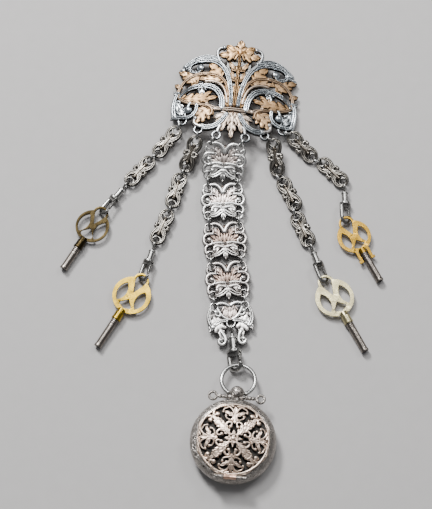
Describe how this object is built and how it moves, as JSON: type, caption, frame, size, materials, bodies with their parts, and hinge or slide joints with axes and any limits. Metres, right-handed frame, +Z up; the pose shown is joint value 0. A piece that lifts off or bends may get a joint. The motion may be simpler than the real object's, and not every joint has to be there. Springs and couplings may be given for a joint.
{
  "type": "chatelaine",
  "caption": "Lying belt-hook ornament: pierced scroll plaque, band of openwork panels, four link chains with winding keys and a watch in a hinged pierced case.",
  "frame": {"origin": "centre of the laid-out object on the table it lies on", "axes": "+X to the right and +Y away from the viewer along the band towards the plaque, +Z up from the table"},
  "size_m": [0.1573, 0.2272, 0.013],
  "materials": {
    "parcel_gilt_silver": "parcel-gilt cast silver, rubbed bright on the high parts and dark in the recesses",
    "plain_silver": "plain sterling silver, softly polished",
    "silver_wire": "drawn silver wire, oxidised where it is sheltered",
    "cast_silver": "cast and chased sterling silver, oxidised in the recesses",
    "link_silver": "cast sterling silver with an oxidised ground",
    "swivel_silver": "turned and polished silver",
    "dark_bronze": "brown patinated bronze",
    "yellow_brass": "yellow brass, lightly tarnished",
    "pale_brass": "pale brass, worn",
    "golden_brass": "golden brass, polished",
    "key_steel": "turned steel, greyed by handling",
    "watch_silver": "engraved silver case, warm grey",
    "cover_silver": "pierced and chased silver cover",
    "dark_plate": "blackened steel inner plate"
  },
  "bodies": {
    "chatelaine": {"plaque": "parcel_gilt_silver", "belt_hook": "plain_silver", "band_rings_1": "silver_wire", "band_rings_2": "silver_wire", "band_rings_3": "silver_wire", "band_rings_4": "silver_wire", "band_rings_5": "silver_wire", "band_panel_1": "cast_silver", "band_panel_2": "cast_silver", "band_panel_3": "cast_silver", "band_panel_4": "cast_silver", "band_terminal": "cast_silver", "left_outer_ring_1": "silver_wire", "left_outer_ring_2": "silver_wire", "left_outer_link_1": "link_silver", "left_outer_link_2": "link_silver", "left_inner_ring_1": "silver_wire", "left_inner_ring_2": "silver_wire", "left_inner_ring_3": "silver_wire", "left_inner_link_1": "link_silver", "left_inner_link_2": "link_silver", "left_inner_link_3": "link_silver", "right_inner_ring_1": "silver_wire", "right_inner_ring_2": "silver_wire", "right_inner_ring_3": "silver_wire", "right_inner_link_1": "link_silver", "right_inner_link_2": "link_silver", "right_inner_link_3": "link_silver", "right_outer_ring_1": "silver_wire", "right_outer_ring_2": "silver_wire", "right_outer_link_1": "link_silver", "right_outer_link_2": "link_silver", "left_outer_eye": "swivel_silver", "left_outer_clip": "swivel_silver", "left_inner_eye": "swivel_silver", "left_inner_clip": "swivel_silver", "right_inner_eye": "swivel_silver", "right_inner_clip": "swivel_silver", "right_outer_eye": "swivel_silver", "right_outer_clip": "swivel_silver", "watch_eye": "swivel_silver", "watch_clip": "swivel_silver", "left_outer_key_bow": "dark_bronze", "left_outer_key_pipe": "key_steel", "left_inner_key_bow": "yellow_brass", "left_inner_key_pipe": "key_steel", "right_inner_key_bow": "pale_brass", "right_inner_key_pipe": "key_steel", "right_outer_key_bow": "golden_brass", "right_outer_key_pipe": "key_steel", "watch_bow": "plain_silver", "watch_case": "watch_silver", "watch_inner_plate": "dark_plate", "watch_hinge_pin": "key_steel"},
    "watch_cover": {"watch_cover": "cover_silver"},
    "left_outer_gate": {"left_outer_gate": "swivel_silver"},
    "left_inner_gate": {"left_inner_gate": "swivel_silver"},
    "right_inner_gate": {"right_inner_gate": "swivel_silver"},
    "right_outer_gate": {"right_outer_gate": "swivel_silver"},
    "watch_gate": {"watch_gate": "swivel_silver"}
  },
  "joints": [
    {"name": "watch_cover_hinge", "type": "hinge", "parent": "chatelaine", "child": "watch_cover", "pos_m": [0.00371, -0.11109, 0.01115], "axis": [0.9962, -0.0872, 0], "range_deg": [0, 95]},
    {"name": "left_outer_gate_spring", "type": "hinge", "parent": "chatelaine", "child": "left_outer_gate", "pos_m": [-0.05263, 0.02751, 0.00411], "axis": [0.5154, -0.4268, -0.7431], "range_deg": [0, 18], "stiffness_Nm_per_rad": 0.0004, "springref_deg": -11.46},
    {"name": "left_inner_gate_spring", "type": "hinge", "parent": "chatelaine", "child": "left_inner_gate", "pos_m": [-0.03462, -0.00522, 0.00411], "axis": [0.6341, -0.2137, -0.7431], "range_deg": [0, 18], "stiffness_Nm_per_rad": 0.0004, "springref_deg": -11.46},
    {"name": "right_inner_gate_spring", "type": "hinge", "parent": "chatelaine", "child": "right_inner_gate", "pos_m": [0.04883, -0.00529, 0.00144], "axis": [-0.6263, -0.2357, -0.7431], "range_deg": [0, 18], "stiffness_Nm_per_rad": 0.0004, "springref_deg": -11.46},
    {"name": "right_outer_gate_spring", "type": "hinge", "parent": "chatelaine", "child": "right_outer_gate", "pos_m": [0.0624, 0.02519, 0.00144], "axis": [-0.6689, -0.019, -0.7431], "range_deg": [0, 18], "stiffness_Nm_per_rad": 0.0004, "springref_deg": -11.46},
    {"name": "watch_gate_spring", "type": "hinge", "parent": "chatelaine", "child": "watch_gate", "pos_m": [0.00796, -0.05074, 0.00522], "axis": [0.6687, 0.0396, -0.7425], "range_deg": [0, 18], "stiffness_Nm_per_rad": 0.0004, "springref_deg": -11.46}
  ]
}
